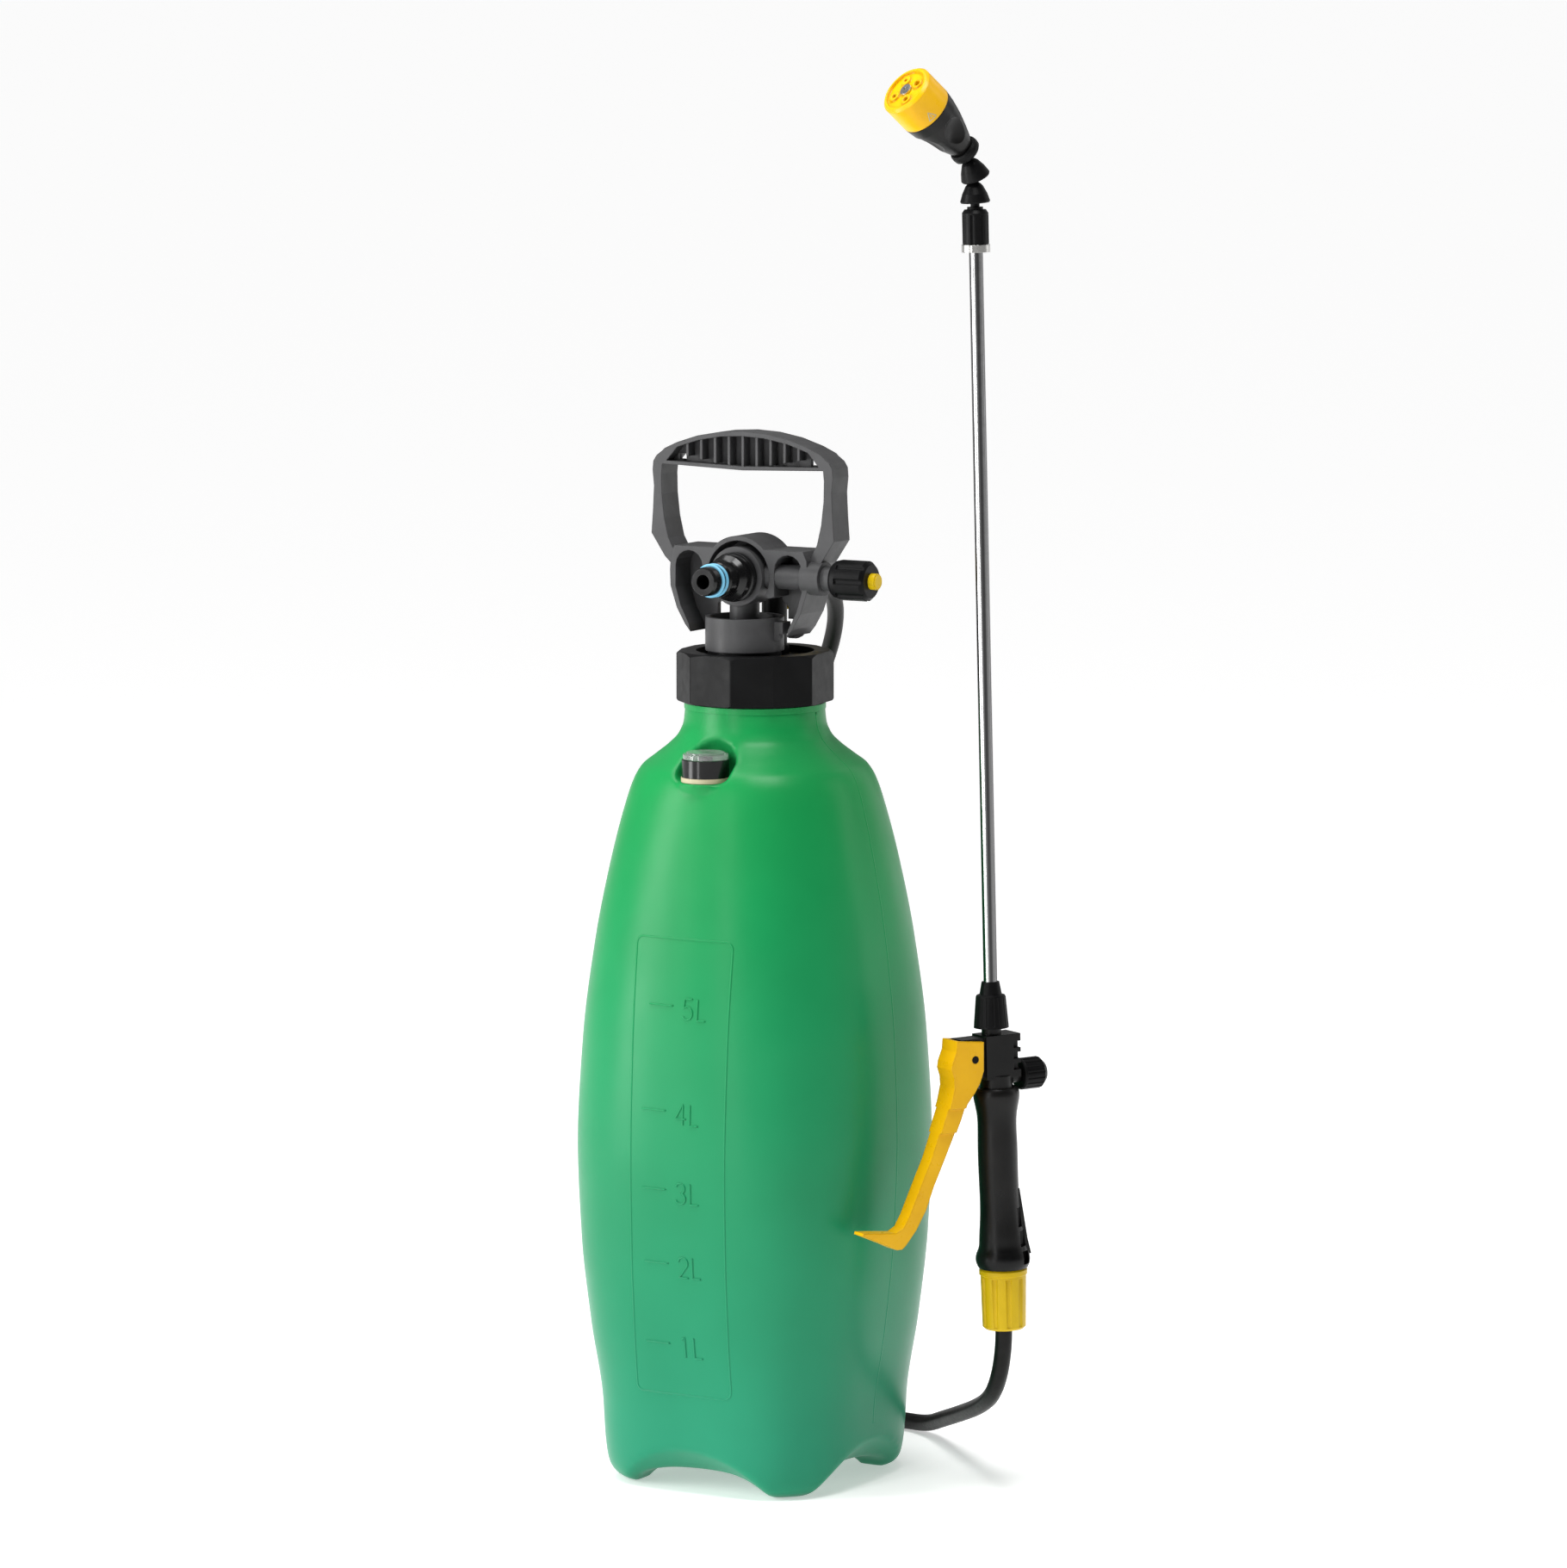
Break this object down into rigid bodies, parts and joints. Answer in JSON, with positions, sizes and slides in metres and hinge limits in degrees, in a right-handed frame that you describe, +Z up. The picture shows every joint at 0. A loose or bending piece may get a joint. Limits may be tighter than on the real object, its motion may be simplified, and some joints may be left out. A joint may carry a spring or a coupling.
{
  "type": "pump sprayer",
  "caption": "Pump-up pressure sprayer: moulded tank on feet, hand pump with frame handle, relief valve, hose, trigger gun and upright lance with a bending spray head.",
  "frame": {"origin": "on the floor under the tank's axis, midway between the feet", "axes": "+Z up the tank; the pump handle is as wide as X; the water inlet nipple points along -Y; the lance stands on the +X side"},
  "size_m": [0.2784, 0.2889, 0.7194],
  "materials": {
    "tank_plastic": "satin blow moulded polyethylene",
    "black_plastic": "satin",
    "gun_plastic": "satin",
    "nipple_plastic": "gloss",
    "grey_plastic": "matt with a slight sheen",
    "yellow_plastic": "semi-gloss",
    "cream_plastic": "matt",
    "clear_plastic": "clear gloss",
    "seal_rubber": "matt",
    "o_ring": "satin",
    "hose": "satin",
    "lance_steel": "polished",
    "ring_metal": "satin",
    "screw_steel": "zinc plated",
    "spring_steel": "drawn wire"
  },
  "bodies": {
    "tank_unit": {"tank": "tank_plastic", "relief_washer": "cream_plastic", "relief_body": "black_plastic", "relief_spring": "spring_steel", "neck_seal": "seal_rubber", "pump_plate": "black_plastic", "pump_barrel": "grey_plastic", "barrel_foot_valve": "seal_rubber", "barrel_cap": "grey_plastic", "rod_bush": "black_plastic", "dip_tube": "clear_plastic", "dip_strainer": "black_plastic", "outlet_elbow": "black_plastic", "hose_upper": "hose", "hose_coil": "hose", "hose_lead": "hose"},
    "relief_valve": {"relief_cap": "clear_plastic", "relief_stem": "black_plastic", "relief_seal": "seal_rubber"},
    "collar": {"collar_nut": "black_plastic"},
    "tank_hose_nut": {"tank_hose_nut": "yellow_plastic"},
    "piston": {"piston_head": "black_plastic", "piston_seal": "seal_rubber"},
    "handle": {"handle": "grey_plastic", "hub_body": "grey_plastic", "inlet_nipple": "nipple_plastic", "nipple_o_rings": "o_ring", "cross_tube": "grey_plastic", "pump_rod": "grey_plastic"},
    "cross_nut": {"cross_tube_nut": "black_plastic"},
    "button": {"release_button": "yellow_plastic", "button_spring": "spring_steel"},
    "gun": {"gun_body": "gun_plastic", "trigger_pin": "black_plastic", "gun_valve_spring": "spring_steel", "gun_strainer": "black_plastic", "lance_seal": "seal_rubber", "lance_tube": "lance_steel", "tip_ring": "ring_metal", "tip_connector": "black_plastic"},
    "gun_hose_nut": {"gun_hose_nut": "yellow_plastic"},
    "trigger": {"trigger_lever": "yellow_plastic"},
    "gun_valve": {"gun_valve_stem": "black_plastic", "gun_valve_seal": "seal_rubber"},
    "knob": {"gun_knob": "black_plastic"},
    "lance_nut": {"lance_nut": "black_plastic"},
    "tip_nut": {"tip_nut": "black_plastic"},
    "lower_link": {"lower_link": "black_plastic"},
    "upper_link": {"upper_link": "black_plastic"},
    "spray_head": {"spray_head": "gun_plastic", "head_ring": "black_plastic", "nozzle_core": "black_plastic", "selector_screw": "screw_steel"},
    "selector": {"selector_cap": "yellow_plastic"}
  },
  "joints": [
    {"name": "relief_lift", "type": "slide", "parent": "tank_unit", "child": "relief_valve", "axis": [0, 0, 1], "range_m": [0, 0.003], "stiffness_N_per_m": 1500, "springref_m": -0.002, "deforming": ["relief_spring"]},
    {"name": "collar_turn", "type": "hinge", "parent": "tank_unit", "child": "collar", "pos_m": [0, 0, 0.4102], "axis": [0, 0, 1], "continuous": true},
    {"name": "tank_hose_nut_turn", "type": "hinge", "parent": "tank_unit", "child": "tank_hose_nut", "pos_m": [0, 0.0425, 0.454], "axis": [0, 1, 0], "continuous": true},
    {"name": "pump_stroke", "type": "slide", "parent": "tank_unit", "child": "piston", "axis": [0, 0, 1], "range_m": [0, 0.12]},
    {"name": "handle_twist", "type": "hinge", "parent": "piston", "child": "handle", "pos_m": [0, -0.0104, 0.4626], "axis": [0, 0, 1], "range_deg": [-25, 0]},
    {"name": "cross_nut_turn", "type": "hinge", "parent": "handle", "child": "cross_nut", "pos_m": [0.063, -0.0104, 0.463], "axis": [1, 0, 0], "continuous": true},
    {"name": "button_press", "type": "slide", "parent": "handle", "child": "button", "axis": [-1, 0, 0], "range_m": [0, 0.003], "stiffness_N_per_m": 800, "springref_m": -0.002},
    {"name": "gun_swivel", "type": "hinge", "parent": "tank_unit", "child": "gun", "pos_m": [0.1332, 0.0215, 0.084], "axis": [-0.0199, -0.0115, 0.9997], "range_deg": [0, 240]},
    {"name": "gun_hose_nut_turn", "type": "hinge", "parent": "gun", "child": "gun_hose_nut", "pos_m": [0.133, 0.02139, 0.094], "axis": [-0.0199, -0.0115, 0.9997], "continuous": true},
    {"name": "trigger_squeeze", "type": "hinge", "parent": "gun", "child": "trigger", "pos_m": [0.12129, 0.00408, 0.2236], "axis": [0.866, -0.5, 0.0115], "range_deg": [0, 20], "stiffness_Nm_per_rad": 0.4, "springref_deg": -17.19},
    {"name": "gun_valve_push", "type": "slide", "parent": "gun", "child": "gun_valve", "axis": [0.4997, 0.866, 0.0199], "range_m": [0, 0.0018], "deforming": ["gun_valve_spring"]},
    {"name": "knob_turn", "type": "hinge", "parent": "gun", "child": "knob", "pos_m": [0.13855, 0.03374, 0.21318], "axis": [0.4997, 0.866, 0.0199], "continuous": true},
    {"name": "lance_nut_turn", "type": "hinge", "parent": "gun", "child": "lance_nut", "pos_m": [0.12793, 0.01606, 0.24388], "axis": [-0.0199, -0.0115, 0.9997], "continuous": true},
    {"name": "tip_nut_turn", "type": "hinge", "parent": "gun", "child": "tip_nut", "pos_m": [0.12005, 0.01151, 0.63877], "axis": [-0.0199, -0.0115, 0.9997], "continuous": true},
    {"name": "lower_link_tilt", "type": "hinge", "parent": "gun", "child": "lower_link", "pos_m": [0.11972, 0.01132, 0.65577], "axis": [0.9335, -0.3584, 0.0145], "range_deg": [-25, 20]},
    {"name": "upper_link_tilt", "type": "hinge", "parent": "lower_link", "child": "upper_link", "pos_m": [0.11925, 0.01059, 0.66773], "axis": [0.9335, -0.3584, 0.0145], "range_deg": [-45, 5]},
    {"name": "head_tilt", "type": "hinge", "parent": "upper_link", "child": "spray_head", "pos_m": [0.11715, 0.00556, 0.67842], "axis": [0.9335, -0.3584, 0.0145], "range_deg": [-45, 4]},
    {"name": "selector_turn", "type": "hinge", "parent": "spray_head", "child": "selector", "pos_m": [0.10567, -0.02334, 0.70358], "axis": [-0.2871, -0.7225, 0.6289], "continuous": true}
  ],
  "couplings": [
    {"joint": "gun_valve_push", "follows": "trigger_squeeze", "m_per_rad": 0.005}
  ]
}
